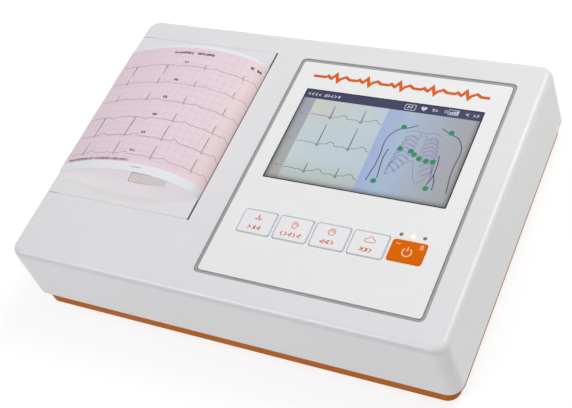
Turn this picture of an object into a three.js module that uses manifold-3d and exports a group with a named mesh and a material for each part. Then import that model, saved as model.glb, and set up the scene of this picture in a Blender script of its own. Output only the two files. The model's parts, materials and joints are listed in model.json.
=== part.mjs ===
// Portable ECG recorder with a thermal strip printer, modelled as separate pieces.
// Millimetres, +Z up, +X to the operator's right, +Y to the back of the case.
// The origin lies under the middle of the case, on the surface the feet stand on.
// The heights below are drawn from a datum that lies DATUM above that surface.
import * as THREE from 'three';
import { mergeVertices } from 'three/addons/utils/BufferGeometryUtils.js';
import Module from 'manifold-3d';

// ---------------------------------------------------------------- driving dimensions
const CASE = { halfX: 133.5, halfY: 93.4, top: 47.5, corner: 8, edge: 4, wall: 2.6, draft: 1.0 };
const DATUM = 2.2;
const SEAM_Z = 6.8; // lower edge of the white shell
const BASE = {
  skirt: -0.6, bottom: 2.5, floor: 5.0, ledge: 6.5, lip: 10, lipGap: 0.5, lipWall: 1.8,
  insetLeft: 6.5, insetRight: 2.7, insetY: 0.2, rim: 3, flange: 1.5,
};
const GAP = 0.3; // air between pieces that meet
const FOOT = { radius: 7, recess: 1.2, x: 112, y: 76 };
const SCREW = { x: 122, y: 82, head: 3.0, headHeight: 2.4, shank: 1.5, length: 17, boss: 4 };
const PANEL = { x0: -15.2, x1: 117.7, y0: -79.1, y1: 76.8, corner: 3.5, depth: 1.8, seal: 2.0, ledge: 4 };
const PANEL_TOP = 47.15;
const SCREEN = { x0: -2.9, x1: 105.5, y0: -11.4, y1: 54.6 };
const KEY = { width: 20.2, height: 15.3, pitch: 22.0, firstX: 7.6, y: -41.45, travel: 0.4 };
const POWER_KEY = { width: 18.8, height: 13.0, x: 95.1 };
const KEY_TOP = 47.4;
const LED = { firstX: 88.4, pitch: 6.5, y: -31.5, radius: 0.8 };
const DOOR = { free: -33.9, y0: -48.5, y1: 77.5, cheek: 2.5, gap: 0.4, plate: 2.6 };
const HINGE = { radius: 5, z: 22, pin: 1.4, pinLength: 16 };
const SCOOP = { x: -82.5, depth: 7, halfWidth: 46, y0: -44.4, y1: 73.4, taper: 8, wall: 2.2 };
const SLOT_EDGE = -32.7; // edge of the white shell beside the paper slot
const PLATEN = { x: -40.3, z: 36, radius: 6.5, shaft: 2.0, y0: -37.5, y1: 66.5 };
const PAPER = { y0: -35, y1: 65, sheet: 0.4, slotX: -33.3, apexX: -71, apexZ: 64, landX: -131 };
const GEAR = { module: 0.7, y0: 72.0, y1: 74.6, platen: 18, idler: 30, pinion: 12 };
const BAY = { x0: -122.8, x1: -50, y0: -42, y1: 71, wall: 1.6, z0: 5.3, z1: 34, low: 19 };
const BATTERY = { x0: -20, x1: 62, y0: -86, y1: -46, top: 26, wall: 1.6 };
const SOCKET = {
  patient: { x0: 72, x1: 112, z0: 17, z1: 31 },
  usb: { x0: 44, x1: 58, z0: 20, z1: 27 },
  power: { x0: 6, x1: 30, z0: 16, z1: 30 },
  earth: { x: -16, z: 23, hole: 6.5, flange: 8, pin: 3 },
  face: 93.2,
  back: 78,
};
const ROUND = 6; // segments in a quarter turn of a corner of 3 mm or more

// ---------------------------------------------------------------- solids
const wasm = await Module();
wasm.setup();

function toSolid(geometry) {
  const bare = geometry.clone();
  bare.deleteAttribute('normal');
  bare.deleteAttribute('uv');
  const merged = mergeVertices(bare, 1e-4);
  const mesh = new wasm.Mesh({
    numProp: 3,
    vertProperties: new Float32Array(merged.attributes.position.array),
    triVerts: new Uint32Array(merged.index.array),
  });
  return new wasm.Manifold(mesh);
}

function toGeometry(solid) {
  const mesh = solid.getMesh();
  const geometry = new THREE.BufferGeometry();
  geometry.setAttribute('position', new THREE.BufferAttribute(mesh.vertProperties, 3));
  geometry.setIndex(new THREE.BufferAttribute(mesh.triVerts, 1));
  const flat = geometry.toNonIndexed();
  flat.computeVertexNormals();
  return flat;
}

function box(x0, x1, y0, y1, z0, z1) {
  const geometry = new THREE.BoxGeometry(x1 - x0, y1 - y0, z1 - z0);
  return toSolid(geometry.translate((x0 + x1) / 2, (y0 + y1) / 2, (z0 + z1) / 2));
}

function roundedRect(x0, x1, y0, y1, r) {
  const shape = new THREE.Shape();
  shape.moveTo(x0 + r, y0);
  shape.lineTo(x1 - r, y0);
  shape.absarc(x1 - r, y0 + r, r, -Math.PI / 2, 0, false);
  shape.lineTo(x1, y1 - r);
  shape.absarc(x1 - r, y1 - r, r, 0, Math.PI / 2, false);
  shape.lineTo(x0 + r, y1);
  shape.absarc(x0 + r, y1 - r, r, Math.PI / 2, Math.PI, false);
  shape.lineTo(x0, y0 + r);
  shape.absarc(x0 + r, y0 + r, r, Math.PI, 1.5 * Math.PI, false);
  return shape;
}

function slab(shape, z0, z1, segments = ROUND) {
  const options = { depth: z1 - z0, bevelEnabled: false, curveSegments: segments };
  return toSolid(new THREE.ExtrudeGeometry(shape, options).translate(0, 0, z0));
}

function plate(x0, x1, y0, y1, r, z0, z1) {
  return slab(roundedRect(x0, x1, y0, y1, r), z0, z1, r < 3 ? 3 : ROUND);
}

function outlineOf(points) {
  return new THREE.Shape(points.map(([u, v]) => new THREE.Vector2(u, v)));
}

// A shape drawn in X and Z, extruded along Y.
function alongY(shape, y0, y1) {
  const options = { depth: y1 - y0, bevelEnabled: false, curveSegments: ROUND };
  const geometry = new THREE.ExtrudeGeometry(shape, options);
  return toSolid(geometry.rotateX(Math.PI / 2).translate(0, y1, 0));
}

function rodY(x, z, radius, y0, y1, sides = 20) {
  const geometry = new THREE.CylinderGeometry(radius, radius, y1 - y0, sides);
  return toSolid(geometry.translate(x, (y0 + y1) / 2, z));
}

function rodZ(x, y, radius, z0, z1, sides = 20) {
  const geometry = new THREE.CylinderGeometry(radius, radius, z1 - z0, sides);
  return toSolid(geometry.rotateX(Math.PI / 2).translate(x, y, (z0 + z1) / 2));
}

// ---------------------------------------------------------------- finishes
const finish = (color, roughness, metalness = 0) => ({ color, roughness, metalness });
const FINISH = {
  white: finish(0xe4e5e8, 0.35),
  orange: finish(0xd8641a, 0.4),
  rubber: finish(0x2b2c2e, 0.85),
  seal: finish(0xa3a7ab, 0.6),
  panel: finish(0xe6e8e4, 0.45),
  glass: finish(0x39424a, 0.05),
  display: finish(0x30343c, 0.3),
  key: finish(0xf0f0ee, 0.45),
  board: finish(0x1f6b3a, 0.5),
  black: finish(0x1d1e20, 0.5),
  steel: finish(0xb9bcc0, 0.3, 1),
  aluminium: finish(0xc6c9cc, 0.35, 1),
  brass: finish(0xc9a44a, 0.3, 1),
  nylon: finish(0xefe9da, 0.5),
  paper: finish(0xf3dfe0, 0.8),
  smoke: finish(0x8a8d92, 0.2),
  lamp: finish(0xf4edc0, 0.3),
  ceramic: finish(0xd8d3c4, 0.4),
  battery: finish(0x2f5f93, 0.5),
};

function piece(name, solid, look) {
  const mesh = new THREE.Mesh(toGeometry(solid), new THREE.MeshStandardMaterial(FINISH[look]));
  mesh.name = name;
  return mesh;
}

function at(mesh, x, y, z = 0) {
  mesh.position.set(x, y, z);
  return mesh;
}

// ---------------------------------------------------------------- case
// The outer form of the case: rounded in plan, rounded along the top edge, wider at the foot.
function caseForm() {
  const { halfX, halfY, top, corner, edge, draft } = CASE;
  const options = {
    depth: top - edge,
    curveSegments: ROUND,
    bevelThickness: edge,
    bevelSize: edge,
    bevelOffset: -edge,
    bevelSegments: 4,
  };
  const geometry = new THREE.ExtrudeGeometry(roundedRect(-halfX, halfX, -halfY, halfY, corner), options);
  const position = geometry.attributes.position;
  for (let i = 0; i < position.count; i += 1) {
    const z = position.getZ(i);
    const spread = (draft * (top - z)) / (top - SEAM_Z);
    position.setX(i, position.getX(i) + Math.sign(position.getX(i)) * spread);
    position.setY(i, position.getY(i) + Math.sign(position.getY(i)) * spread);
  }
  return toSolid(geometry);
}

function wallX(z) {
  return CASE.halfX + (CASE.draft * (CASE.top - z)) / (CASE.top - SEAM_Z);
}

const hingeX = HINGE.radius - wallX(HINGE.z);

function screwPlaces() {
  return [
    ['front_left', -SCREW.x, -SCREW.y],
    ['front_right', SCREW.x, -SCREW.y],
    ['rear_left', -SCREW.x, SCREW.y + 2],
    ['rear_right', SCREW.x, SCREW.y + 2],
  ];
}

function rearOpenings() {
  return [
    box(SOCKET.patient.x0, SOCKET.patient.x1, 85, 99, SOCKET.patient.z0, SOCKET.patient.z1),
    box(SOCKET.usb.x0, SOCKET.usb.x1, 85, 99, SOCKET.usb.z0, SOCKET.usb.z1),
    box(SOCKET.power.x0, SOCKET.power.x1, 85, 99, SOCKET.power.z0, SOCKET.power.z1),
    rodY(SOCKET.earth.x, SOCKET.earth.z, SOCKET.earth.hole, 85, 99),
  ];
}

function upperCase() {
  const { halfX, halfY, top, wall } = CASE;
  const inner = plate(wall - halfX, halfX - wall, wall - halfY, halfY - wall, 5.4, -5, top - wall);
  let shell = caseForm().subtract(box(-200, 200, -200, 200, -10, SEAM_Z)).subtract(inner);
  for (const [, x, y] of screwPlaces()) {
    shell = shell.add(rodZ(x, y, SCREW.boss, SEAM_Z + 1.5, top - wall + 0.5));
  }
  for (const [y0, y1] of [[-56, DOOR.y0 - DOOR.gap], [DOOR.y1 + DOOR.gap, 85]]) {
    shell = shell.add(box(-halfX + 1, hingeX + 4.5, y0, y1, HINGE.z - 5, HINGE.z + 5));
  }
  shell = shell.subtract(rodY(hingeX, HINGE.z, HINGE.pin + GAP, -58, 88));
  for (const [, x, y] of screwPlaces()) {
    shell = shell.subtract(rodZ(x, y, SCREW.shank + GAP, 0, 24));
  }
  const doorY0 = DOOR.y0 - DOOR.gap;
  const doorY1 = DOOR.y1 + DOOR.gap;
  shell = shell.subtract(box(-200, SLOT_EDGE, doorY0, doorY1, HINGE.z, 60));
  // Below the barrel the wall stops short, so that the open door's side lies over it.
  shell = shell.subtract(box(-200, hingeX + 5.4, doorY0, doorY1, HINGE.z - HINGE.radius - 0.8, 60));
  const recess = plate(PANEL.x0, PANEL.x1, PANEL.y0, PANEL.y1, PANEL.corner, top - PANEL.depth, 60);
  const inset = PANEL.seal + PANEL.ledge;
  const window = plate(
    PANEL.x0 + inset, PANEL.x1 - inset, PANEL.y0 + inset, PANEL.y1 - inset, 2, top - 10, 60,
  );
  shell = shell.subtract(recess).subtract(window);
  for (const hole of rearOpenings()) {
    shell = shell.subtract(hole);
  }
  return piece('upper_case', shell, 'white');
}

function lowerCase() {
  const left = BASE.insetLeft - wallX(SEAM_Z);
  const right = wallX(SEAM_Z) - BASE.insetRight;
  const back = wallX(SEAM_Z) - CASE.halfX + CASE.halfY - BASE.insetY;
  const rim = BASE.rim;
  const lipX = CASE.halfX - CASE.wall - BASE.lipGap;
  const lipY = CASE.halfY - CASE.wall - BASE.lipGap;
  let tray = plate(left, right, -back, back, 7, BASE.skirt, BASE.ledge);
  tray = tray.subtract(plate(left + rim, right - rim, rim - back, back - rim, 4, -5, BASE.bottom));
  tray = tray.add(plate(-lipX, lipX, -lipY, lipY, 5, BASE.floor - BASE.flange, BASE.lip));
  const w = BASE.lipWall;
  tray = tray.subtract(plate(w - lipX, lipX - w, w - lipY, lipY - w, 3.5, BASE.floor, 20));
  tray = tray.add(box(BATTERY.x0, BATTERY.x1, BATTERY.y0, BATTERY.y1, BASE.floor - 1, BATTERY.top));
  tray = tray.subtract(batterySpace(0, -1, BATTERY.top - BATTERY.wall));
  for (const [, x, y] of screwPlaces()) {
    tray = tray.add(rodZ(x, y, SCREW.boss + 1, BASE.floor - 1, SEAM_Z + 1.2));
    tray = tray.subtract(rodZ(x, y, SCREW.shank + GAP, 0, 20));
    tray = tray.subtract(rodZ(x, y, SCREW.head + GAP, -5, 5.8));
  }
  for (const [, x, y] of footPlaces()) {
    tray = tray.subtract(rodZ(x, y, FOOT.radius + GAP, 0, BASE.bottom + FOOT.recess));
  }
  for (const [x, y] of [[6, -36], [118, -36], [6, 54], [118, 54]]) {
    tray = tray.add(rodZ(x, y, 3, BASE.floor - 1, 11.7, 16));
  }
  return piece('lower_case', tray, 'orange');
}

function batterySpace(margin, z0, z1) {
  const { x0, x1, y0, y1, wall } = BATTERY;
  const m = wall + margin;
  return box(x0 + m, x1 - m, y0 + m, y1 - m, z0, z1);
}

function footPlaces() {
  return [
    ['front_left', -FOOT.x, -FOOT.y],
    ['front_right', FOOT.x, -FOOT.y],
    ['rear_left', -FOOT.x, FOOT.y],
    ['rear_right', FOOT.x, FOOT.y],
  ];
}

function feet() {
  const top = BASE.bottom + FOOT.recess - GAP;
  const { radius } = FOOT;
  const profile = [[0, -DATUM], [radius - 1.2, -DATUM], [radius, 1.4 - DATUM], [radius, top], [0, top]];
  const points = profile.map(([r, z]) => new THREE.Vector2(r, z));
  const geometry = new THREE.LatheGeometry(points, 24).rotateX(Math.PI / 2);
  return footPlaces().map(([place, x, y]) => at(piece(`foot_${place}`, toSolid(geometry), 'rubber'), x, y));
}

function caseScrews() {
  const head = rodZ(0, 0, SCREW.head, 0, SCREW.headHeight);
  const shank = rodZ(0, 0, SCREW.shank, SCREW.headHeight - 0.5, SCREW.length, 16);
  const drive = box(-2, 2, -0.4, 0.4, -1, 1).add(box(-0.4, 0.4, -2, 2, -1, 1));
  const screw = head.add(shank).subtract(drive);
  return screwPlaces().map(([place, x, y]) => at(piece(`case_screw_${place}`, screw, 'steel'), x, y, 3.1));
}

function batteryParts() {
  const cover = batterySpace(GAP, BASE.bottom, BASE.floor);
  const grip = box(52, 57, -71, -61, 0, BASE.bottom + 1.2);
  const cell = batterySpace(1.2, BASE.floor + GAP, BATTERY.top - BATTERY.wall - GAP);
  const split = box(19, 22, -90, -40, 20, 40);
  return [
    piece('battery_cover', cover.subtract(grip), 'orange'),
    piece('battery_pack', cell.subtract(split), 'battery'),
  ];
}

// ---------------------------------------------------------------- control panel
const panelInset = PANEL.seal + 0.15;

function panelGasket() {
  const g = 0.15;
  const floor = CASE.top - PANEL.depth + GAP;
  const inner = PANEL.seal - 0.15;
  const { x0, x1, y0, y1, corner } = PANEL;
  const ring = plate(x0 + g, x1 - g, y0 + g, y1 - g, corner, floor, PANEL_TOP - 0.3);
  const hole = plate(x0 + inner, x1 - inner, y0 + inner, y1 - inner, 2, 40, 60);
  return piece('panel_gasket', ring.subtract(hole), 'seal');
}

function keyPlaces() {
  const names = ['key_auto', 'key_manual', 'key_stop', 'key_link'];
  const keys = names.map((name, i) => ({ name, x: KEY.firstX + i * KEY.pitch, w: KEY.width, h: KEY.height }));
  keys.push({ name: 'key_power', x: POWER_KEY.x, w: POWER_KEY.width, h: POWER_KEY.height });
  return keys;
}

function frontPanel() {
  const { x0, x1, y0, y1 } = PANEL;
  const m = panelInset;
  const floor = CASE.top - PANEL.depth + GAP;
  let panel = plate(x0 + m, x1 - m, y0 + m, y1 - m, 1.8, floor, PANEL_TOP);
  const s = SCREEN;
  panel = panel.subtract(plate(s.x0 - 0.15, s.x1 + 0.15, s.y0 - 0.15, s.y1 + 0.15, 0.6, 40, 60));
  for (const { x, w, h } of keyPlaces()) {
    const hw = w / 2 + 0.25;
    const hh = h / 2 + 0.25;
    panel = panel.subtract(plate(x - hw, x + hw, KEY.y - hh, KEY.y + hh, 1.8, 40, 60));
  }
  for (let i = 0; i < 3; i += 1) {
    panel = panel.subtract(rodZ(LED.firstX + i * LED.pitch, LED.y, LED.radius + 0.25, 40, 60, 16));
  }
  return piece('front_panel', panel, 'panel');
}

function displayParts() {
  const s = SCREEN;
  const glass = plate(s.x0 + 0.1, s.x1 - 0.1, s.y0 + 0.1, s.y1 - 0.1, 0.5, 46.0, PANEL_TOP - 0.1);
  const body = box(s.x0 - 4, s.x1 + 4, s.y0 - 5, s.y1 + 5, 41, 45.4);
  const tail = box(40, 60, s.y0 - 11, s.y0 - 4, 41, 41.6);
  return [
    piece('display_window', glass, 'glass'),
    piece('lcd_module', body.add(tail), 'display'),
  ];
}

function keyCap({ name, x, w, h }) {
  const cap = plate(-w / 2, w / 2, -h / 2, h / 2, 1.6, 46.0, KEY_TOP);
  const stem = rodZ(0, 0, 2, 45.65, 46.5, 16);
  return at(piece(name, cap.add(stem), name === 'key_power' ? 'orange' : 'key'), x, KEY.y);
}

function keySwitch({ name, x }) {
  const body = box(-3, 3, -3, 3, 42.7, 44.2);
  const plunger = rodZ(0, 0, 1.7, 44, 45.0, 16);
  return at(piece(`${name}_switch`, body.add(plunger), 'black'), x, KEY.y);
}

function keypadBoard() {
  return piece('keypad_board', box(-8, 110, -57, -26, 41, 42.4), 'board');
}

function ledPipes() {
  const names = ['led_mains', 'led_on', 'led_battery'];
  const looks = ['smoke', 'lamp', 'smoke'];
  return names.map((name, i) => {
    const rod = rodZ(0, 0, LED.radius, 43, PANEL_TOP, 16).add(rodZ(0, 0, 1.4, 42.7, 43.4, 16));
    return at(piece(name, rod, looks[i]), LED.firstX + i * LED.pitch, LED.y);
  });
}

// ---------------------------------------------------------------- printer door
// The scoop is a shallow barrel lying along Y, with cone ends, sunk into the door's top.
function scoopForm(grow) {
  const { x, depth, halfWidth, y0, y1, taper } = SCOOP;
  const radius = (halfWidth ** 2 + depth ** 2) / (2 * depth);
  const reach = grow * 1.4;
  const points = [
    [0, y0 - reach],
    [radius - depth, y0 - reach],
    [radius + grow, y0 + taper - grow * 0.4],
    [radius + grow, y1 - taper + grow * 0.4],
    [radius - depth, y1 + reach],
    [0, y1 + reach],
  ];
  const profile = points.map(([r, y]) => new THREE.Vector2(r, y));
  const geometry = new THREE.LatheGeometry(profile, 128);
  return toSolid(geometry.translate(x, 0, CASE.top - depth + radius));
}

function printerDoor() {
  const { top, halfX, wall } = CASE;
  const cheek = outlineOf([
    [-140, HINGE.z], [-120, HINGE.z], [-100, 33], [DOOR.free, 33], [DOOR.free, 60], [-140, 60],
  ]);
  const body = caseForm().intersect(alongY(cheek, DOOR.y0, DOOR.y1));
  const hollow = box(wall - halfX, 0, DOOR.y0 + DOOR.cheek, DOOR.y1 - DOOR.cheek, 0, top - DOOR.plate);
  let door = body.subtract(hollow.subtract(scoopForm(SCOOP.wall)));
  door = door.subtract(scoopForm(0));
  door = door.add(rodY(hingeX, HINGE.z, HINGE.radius, DOOR.y0, DOOR.y1, 40));
  for (const y of [-44, 69]) {
    door = door.add(box(PLATEN.x - 5.2, PLATEN.x + 5.2, y, y + 2.5, PLATEN.z, top - 2));
    door = door.add(rodY(PLATEN.x, PLATEN.z, 5.2, y, y + 2.5));
  }
  for (const y of [-10, 14.5, 39]) {
    door = door.add(box(-131, -127, y, y + 2, HINGE.z, top - 3));
  }
  door = door.subtract(rodY(PLATEN.x, PLATEN.z, 3.3, -46, 72));
  door = door.subtract(rodY(hingeX, HINGE.z, HINGE.pin + GAP, DOOR.y0 - 1, DOOR.y0 + 11));
  door = door.subtract(rodY(hingeX, HINGE.z, HINGE.pin + GAP, DOOR.y1 - 11, DOOR.y1 + 1));
  door = door.subtract(windowForm(GAP, -5, 5));
  return piece('printer_door', door, 'white');
}

// The little window follows the scoop's floor; low and high are heights from that floor.
function windowForm(margin, low, high) {
  const floor = CASE.top - SCOOP.depth;
  return plate(-89 - margin, -63 + margin, -27 - margin, -20.8 + margin, 0.8, floor + low, floor + high);
}

function doorWindow() {
  return piece('door_window', windowForm(0, -1.4, 0.1), 'smoke');
}

function hingePins() {
  const reach = HINGE.pinLength;
  const front = rodY(0, 0, HINGE.pin, 0, reach, 16);
  return [
    at(piece('hinge_pin_front', front, 'steel'), hingeX, DOOR.y0 - 6, HINGE.z),
    at(piece('hinge_pin_rear', front, 'steel'), hingeX, DOOR.y1 + 6 - reach, HINGE.z),
  ];
}

function platenParts() {
  const sleeve = rodY(0, 0, PLATEN.radius, PLATEN.y0, PLATEN.y1, 40);
  const bore = rodY(0, 0, PLATEN.shaft + GAP, -100, 100, 20);
  const bush = (y0, y1) => rodY(0, 0, 3.0, y0, y1, 24).subtract(bore);
  const gear = gearSolid(GEAR.platen, platenPhase, PLATEN.shaft + GAP);
  return [
    at(piece('platen_roller', sleeve.subtract(bore), 'rubber'), PLATEN.x, 0, PLATEN.z),
    at(piece('platen_shaft', rodY(0, 0, PLATEN.shaft, -45, 74.4, 20), 'steel'), PLATEN.x, 0, PLATEN.z),
    at(piece('platen_bush_front', bush(-44.2, -41.3), 'nylon'), PLATEN.x, 0, PLATEN.z),
    at(piece('platen_bush_rear', bush(68.8, 71.7), 'nylon'), PLATEN.x, 0, PLATEN.z),
    at(piece('platen_gear', gear, 'nylon'), PLATEN.x, 0, PLATEN.z),
  ];
}

// ---------------------------------------------------------------- printer drive
const degrees = Math.PI / 180;
const platenPhase = -50; // direction from the platen gear to the idler, degrees in X and Z
const idlerPhase = platenPhase + 180 + 180 / GEAR.idler;
const pinionDirection = idlerPhase - 12 * (360 / GEAR.idler);
const pinionPhase = pinionDirection + 180 + 180 / GEAR.pinion;
const idlerReach = ((GEAR.platen + GEAR.idler) / 2) * GEAR.module;
const pinionReach = ((GEAR.idler + GEAR.pinion) / 2) * GEAR.module;
const idlerX = PLATEN.x + idlerReach * Math.cos(platenPhase * degrees);
const idlerZ = PLATEN.z + idlerReach * Math.sin(platenPhase * degrees);
const motorX = idlerX + pinionReach * Math.cos(pinionDirection * degrees);
const motorZ = idlerZ + pinionReach * Math.sin(pinionDirection * degrees);

// Spur gear teeth with straight flanks, a little thinner than half the pitch.
function gearSolid(teeth, phase, boreRadius) {
  const m = GEAR.module;
  const pitchRadius = (teeth * m) / 2;
  const flank = [
    [pitchRadius - 1.15 * m, 0.95 * m],
    [pitchRadius, 0.62 * m],
    [pitchRadius + 0.85 * m, 0.3 * m],
  ];
  const points = [];
  for (let i = 0; i < teeth; i += 1) {
    const middle = (phase + (360 * i) / teeth) * degrees;
    const rising = flank.map(([r, half]) => [r, middle - half / r]);
    const falling = flank.map(([r, half]) => [r, middle + half / r]).reverse();
    for (const [r, angle] of [...rising, ...falling]) {
      points.push([r * Math.cos(angle), r * Math.sin(angle)]);
    }
  }
  const solid = alongY(outlineOf(points), GEAR.y0, GEAR.y1);
  return boreRadius > 0 ? solid.subtract(rodY(0, 0, boreRadius, 0, 100, 20)) : solid;
}

function printerFrame() {
  let frame = box(-24, -22.8, -38, 70.4, BASE.floor + GAP, 40);
  frame = frame.add(box(-24, -10, -38, 45, BASE.floor + GAP, 6.6));
  frame = frame.add(box(-34, -3, 69.2, 70.4, BASE.floor + GAP, 33));
  frame = frame.add(rodY(idlerX, idlerZ, 1.5, 70, 75.4, 20));
  frame = frame.subtract(rodY(motorX, motorZ, 2.5, 60, 71, 20));
  frame = frame.subtract(box(-30, -20, 51, 69.2, 10.6, 60));
  for (const y of [-20, 10, 40]) {
    frame = frame.subtract(box(-30, -20, y, y + 14, 14, 28));
  }
  return piece('printer_frame', frame, 'steel');
}

function driveParts() {
  const idler = gearSolid(GEAR.idler, idlerPhase, 1.5 + GAP);
  const pinion = gearSolid(GEAR.pinion, pinionPhase, 0).add(rodY(0, 0, 1, 64, GEAR.y1, 16));
  const can = rodY(0, 0, 10, 52, 68.6, 36).add(box(-14, 14, 67.4, 68.9, -4, 4));
  const motor = can.subtract(rodY(0, 0, 1 + GAP, 63.5, 80, 16));
  return [
    at(piece('idler_gear', idler, 'nylon'), idlerX, 0, idlerZ),
    at(piece('motor_pinion', pinion, 'brass'), motorX, 0, motorZ),
    at(piece('stepper_motor', motor, 'aluminium'), motorX, 0, motorZ),
  ];
}

function headParts() {
  const ridge = box(-32.6, -31.6, -38, 66, 31, 41);
  const sink = box(-31.3, -29.3, -38, 66, 29, 42);
  let finned = sink;
  for (let i = 0; i < 5; i += 1) {
    finned = finned.add(box(-29.5, -27.3, -38, 66, 29 + i * 2.9, 30.4 + i * 2.9));
  }
  const arc = new THREE.EllipseCurve(-24.6, 35.5, 1.7, 5.4, Math.PI / 2, 1.5 * Math.PI, false);
  const leaf = alongY(ribbon(arc.getPoints(10), 0.4), 0, 12);
  const teeth = [[-29.2, -37]];
  for (let y = 67; y > -37; y -= 2) {
    teeth.push([-31.3, y], [-32.3, y - 1]);
  }
  teeth.push([-31.3, -37]);
  teeth.splice(1, 0, [-29.2, 67]);
  return [
    piece('print_head', ridge, 'ceramic'),
    piece('head_heat_sink', finned, 'aluminium'),
    at(piece('head_spring_front', leaf, 'steel'), 0, -20),
    at(piece('head_spring_rear', leaf, 'steel'), 0, 36),
    piece('tear_bar', slab(outlineOf(teeth), 43.4, 44.6), 'steel'),
  ];
}

// ---------------------------------------------------------------- paper
// A sheet of even thickness along a line of points in X and Z.
function ribbon(points, thickness) {
  const left = [];
  const right = [];
  points.forEach((point, i) => {
    const before = points[Math.max(i - 1, 0)];
    const after = points[Math.min(i + 1, points.length - 1)];
    const along = new THREE.Vector2().subVectors(after, before).normalize();
    const side = new THREE.Vector2(-along.y, along.x).multiplyScalar(thickness / 2);
    left.push([point.x + side.x, point.y + side.y]);
    right.unshift([point.x - side.x, point.y - side.y]);
  });
  return outlineOf([...left, ...right]);
}

function stripLine() {
  const wrap = PAPER.slotX - PLATEN.x;
  const { slotX, apexX, apexZ, landX } = PAPER;
  const exit = CASE.top + 0.5;
  const around = new THREE.EllipseCurve(PLATEN.x, PLATEN.z, wrap, wrap, -1.7, 0, false);
  const rise = new THREE.EllipseCurve(apexX, exit, slotX - apexX, apexZ - exit, 0, Math.PI / 2, false);
  const fall = new THREE.CubicBezierCurve(
    new THREE.Vector2(apexX, apexZ),
    new THREE.Vector2(apexX - 22, apexZ),
    new THREE.Vector2(landX + 18, apexZ - 7),
    new THREE.Vector2(landX, CASE.top + 0.6),
  );
  return [...around.getPoints(8), ...rise.getPoints(14), ...fall.getPoints(14).slice(1)];
}

function paperParts() {
  const stack = box(-119.5, -53, PAPER.y0, PAPER.y1, BAY.z0 + BAY.wall + GAP, 18.5);
  const feed = new THREE.CubicBezierCurve(
    new THREE.Vector2(-60, 19.1),
    new THREE.Vector2(-50, 19.6),
    new THREE.Vector2(-50, 28.6),
    new THREE.Vector2(-42.5, 28.6),
  );
  return [
    piece('paper_stack', stack, 'paper'),
    piece('paper_feed', alongY(ribbon(feed.getPoints(10), PAPER.sheet), PAPER.y0, PAPER.y1), 'paper'),
    piece('paper_strip', alongY(ribbon(stripLine(), PAPER.sheet), PAPER.y0, PAPER.y1), 'paper'),
  ];
}

function paperBay() {
  const { x0, x1, y0, y1, wall, z0, z1, low } = BAY;
  let bay = box(x0, x1, y0, y1, z0, z1);
  bay = bay.subtract(box(x0 + wall, x1 - wall, y0 + wall, y1 - wall, z0 + wall, 60));
  bay = bay.subtract(box(x1 - wall - 4, x1 + 1, y0 - 1, y1 + 1, low, 60));
  bay = bay.subtract(box(x0 - 1, x0 + wall + 1, y0 - 1, y1 + 1, 30, 60));
  return piece('paper_bay', bay, 'white');
}

// ---------------------------------------------------------------- boards and sockets
function mainBoard() {
  let board = box(0, 124, -40, 58, 12, 13.6);
  const parts = [
    [14, 40, -20, 6, 2.2], [52, 68, -24, -8, 1.6], [76, 92, -2, 14, 1.8], [20, 34, 22, 36, 2.5],
    [96, 118, -34, -20, 6], [44, 60, 20, 32, 1.6], [72, 112, 38, 44, 7], [6, 12, -10, 40, 5],
  ];
  for (const [x0, x1, y0, y1, height] of parts) {
    board = board.add(box(x0, x1, y0, y1, 13, 13.6 + height));
  }
  for (let i = 0; i < 4; i += 1) {
    board = board.add(rodZ(50 + i * 11, 8, 3.2, 13, 22, 20));
  }
  return piece('main_board', board, 'board');
}

function patientBoard() {
  let board = box(66, 112, 61, 84.5, 12, 13.6);
  for (let i = 0; i < 4; i += 1) {
    board = board.add(box(69 + i * 10.5, 76 + i * 10.5, 64, 71, 13, 15.2));
  }
  return piece('patient_board', board, 'board');
}

function speaker() {
  const cone = rodZ(94, -64, 14, BASE.floor + GAP, 9, 36).add(rodZ(94, -64, 9, 8, 13, 28));
  return piece('speaker', cone, 'black');
}

function socketBlock(place, depth) {
  const g = 0.3;
  return box(place.x0 + g, place.x1 - g, SOCKET.face - depth, SOCKET.face, place.z0 + g, place.z1 - g);
}

function sockets() {
  const { patient, usb, power, earth, face } = SOCKET;
  const midX = (patient.x0 + patient.x1) / 2;
  const midZ = (patient.z0 + patient.z1) / 2;
  const dee = outlineOf([[-13, 4.4], [13, 4.4], [11.4, -4.4], [-11.4, -4.4]]);
  const shell = alongY(dee, 0, 2).translate([midX, face - 2, midZ]);
  const flange = socketBlock(patient, 8).subtract(
    box(patient.x0 + 5, patient.x1 - 5, face - 1.5, 99, patient.z0 + 1.5, patient.z1 - 1.5),
  );
  const usbBody = socketBlock(usb, 14);
  const usbHole = box(usb.x0 + 0.8, usb.x1 - 0.8, face - 12, 99, usb.z0 + 0.85, usb.z1 - 0.85);
  const inlet = socketBlock(power, 18);
  const well = box(power.x0 + 3, power.x1 - 3, face - 14, 99, power.z0 + 2.5, power.z1 - 2.5);
  let powerBody = inlet.subtract(well);
  for (const x of [13.7, 22.3]) {
    powerBody = powerBody.add(rodY(x, 23, 1.2, face - 15, face - 5.5, 16));
  }
  const pin = rodY(earth.x, earth.z, earth.flange, 88, 90.4).add(rodY(earth.x, earth.z, earth.pin, 90, face));
  return [
    piece('patient_connector', flange.add(shell), 'black'),
    piece('usb_socket', usbBody.subtract(usbHole), 'steel'),
    piece('power_inlet', powerBody, 'black'),
    piece('earth_terminal', pin, 'brass'),
  ];
}

// ---------------------------------------------------------------- assembly
const machine = new THREE.Group();
machine.position.z = DATUM;
machine.add(lowerCase(), upperCase(), ...feet(), ...caseScrews(), ...batteryParts());

const controls = new THREE.Group();
controls.add(panelGasket(), frontPanel(), ...displayParts(), keypadBoard(), ...ledPipes());
for (const key of keyPlaces()) {
  controls.add(keyCap(key), keySwitch(key));
}
machine.add(controls);

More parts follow.
